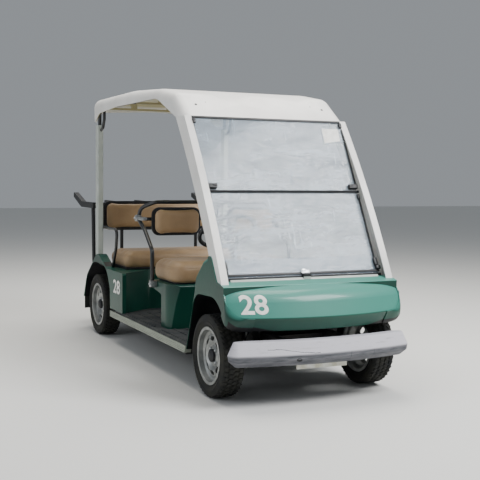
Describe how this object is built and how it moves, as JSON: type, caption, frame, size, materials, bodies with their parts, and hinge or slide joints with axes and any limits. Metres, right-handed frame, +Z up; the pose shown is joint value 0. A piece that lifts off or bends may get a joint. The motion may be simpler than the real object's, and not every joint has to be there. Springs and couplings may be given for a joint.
{
  "type": "golf cart",
  "caption": "Open golf cart with front bench, rear bench, moulded roof, two-pane windshield and a bag carrier; steered front wheels and rolling wheels.",
  "frame": {"origin": "on the ground, below the middle of the box", "axes": "+X the cart's left, +Y towards the rear, +Z up"},
  "size_m": [1.17, 3.5296, 1.8999],
  "materials": {
    "wheel_paint": "satin silver paint on pressed steel",
    "tyre": "matte",
    "chassis_paint": "satin black paint",
    "forged_steel": "forged and dulled",
    "wheel_rubber": "satin",
    "mat_rubber": "matte, ribbed",
    "sill_aluminium": "extruded, dulled",
    "motor_casting": "plain",
    "body_green": "gloss, moulded",
    "bumper_grey": "moulded, scuffed",
    "plate_white": "blank",
    "screen_clear": "clear acrylic, lightly scratched",
    "trim_black": "moulded",
    "roof_white": "moulded",
    "tube_black": "gloss black paint",
    "pillar_grey": "moulded",
    "post_grey": "paint",
    "seat_vinyl": "tan vinyl",
    "dash_grey": "moulded"
  },
  "bodies": {
    "root": {"arm_loops": "tube_black", "bag_rack": "trim_black", "bag_well": "trim_black", "chassis_frame": "chassis_paint", "dash": "dash_grey", "floor": "mat_rubber", "front_axle": "chassis_paint", "front_backrests": "seat_vinyl", "front_bumper": "bumper_grey", "front_cowl": "body_green", "front_cushion": "seat_vinyl", "front_dampers": "chassis_paint", "front_pillars": "pillar_grey", "front_seat_base": "body_green", "front_seat_frame": "tube_black", "motor": "motor_casting", "mudflaps": "mat_rubber", "number_plate": "plate_white", "pedals": "trim_black", "rear_axle": "chassis_paint", "rear_backrest": "seat_vinyl", "rear_body": "body_green", "rear_bumper": "bumper_grey", "rear_cushion": "seat_vinyl", "rear_posts": "post_grey", "rear_seat_frame": "tube_black", "rear_springs": "chassis_paint", "roof": "roof_white", "roof_frame": "tube_black", "screen_lower": "screen_clear", "screen_strips": "trim_black", "screen_upper": "screen_clear", "sills": "sill_aluminium", "steering_column": "chassis_paint"},
    "knuckle_left": {"knuckle_left": "forged_steel"},
    "knuckle_right": {"knuckle_right": "forged_steel"},
    "tie_rod": {"tie_rod": "forged_steel"},
    "steering_wheel": {"steering_wheel": "wheel_rubber"},
    "wheel_front_left": {"rim_front_left": "wheel_paint", "tyre_front_left": "tyre"},
    "wheel_front_right": {"rim_front_right": "wheel_paint", "tyre_front_right": "tyre"},
    "wheel_rear_left": {"rim_rear_left": "wheel_paint", "tyre_rear_left": "tyre"},
    "wheel_rear_right": {"rim_rear_right": "wheel_paint", "tyre_rear_right": "tyre"}
  },
  "joints": [
    {"name": "steer_left", "type": "hinge", "parent": "root", "child": "knuckle_left", "pos_m": [0.4, -1.31, 0.244], "axis": [0, 0, 1], "range_deg": [-28, 28]},
    {"name": "steer_right", "type": "hinge", "parent": "root", "child": "knuckle_right", "pos_m": [-0.4, -1.31, 0.244], "axis": [0, 0, 1], "range_deg": [-28, 28]},
    {"name": "tie_rod_slide", "type": "slide", "parent": "root", "child": "tie_rod", "axis": [1, 0, 0], "range_m": [-0.064, 0.064]},
    {"name": "steering_wheel_turn", "type": "hinge", "parent": "root", "child": "steering_wheel", "pos_m": [-0.27, -0.90744, 0.94], "axis": [0, 0.5878, 0.809], "range_deg": [-255, 255]},
    {"name": "roll_front_left", "type": "hinge", "parent": "knuckle_left", "child": "wheel_front_left", "pos_m": [0.502, -1.31, 0.244], "axis": [1, 0, 0], "continuous": true},
    {"name": "roll_front_right", "type": "hinge", "parent": "knuckle_right", "child": "wheel_front_right", "pos_m": [-0.502, -1.31, 0.244], "axis": [1, 0, 0], "continuous": true},
    {"name": "roll_rear_left", "type": "hinge", "parent": "root", "child": "wheel_rear_left", "pos_m": [0.502, 1.025, 0.244], "axis": [1, 0, 0], "continuous": true},
    {"name": "roll_rear_right", "type": "hinge", "parent": "root", "child": "wheel_rear_right", "pos_m": [-0.502, 1.025, 0.244], "axis": [1, 0, 0], "continuous": true}
  ],
  "couplings": [
    {"joint": "steer_right", "follows": "steer_left", "ratio": 1},
    {"joint": "tie_rod_slide", "follows": "steer_left", "m_per_rad": 0.13},
    {"joint": "steering_wheel_turn", "follows": "steer_left", "ratio": 9}
  ]
}
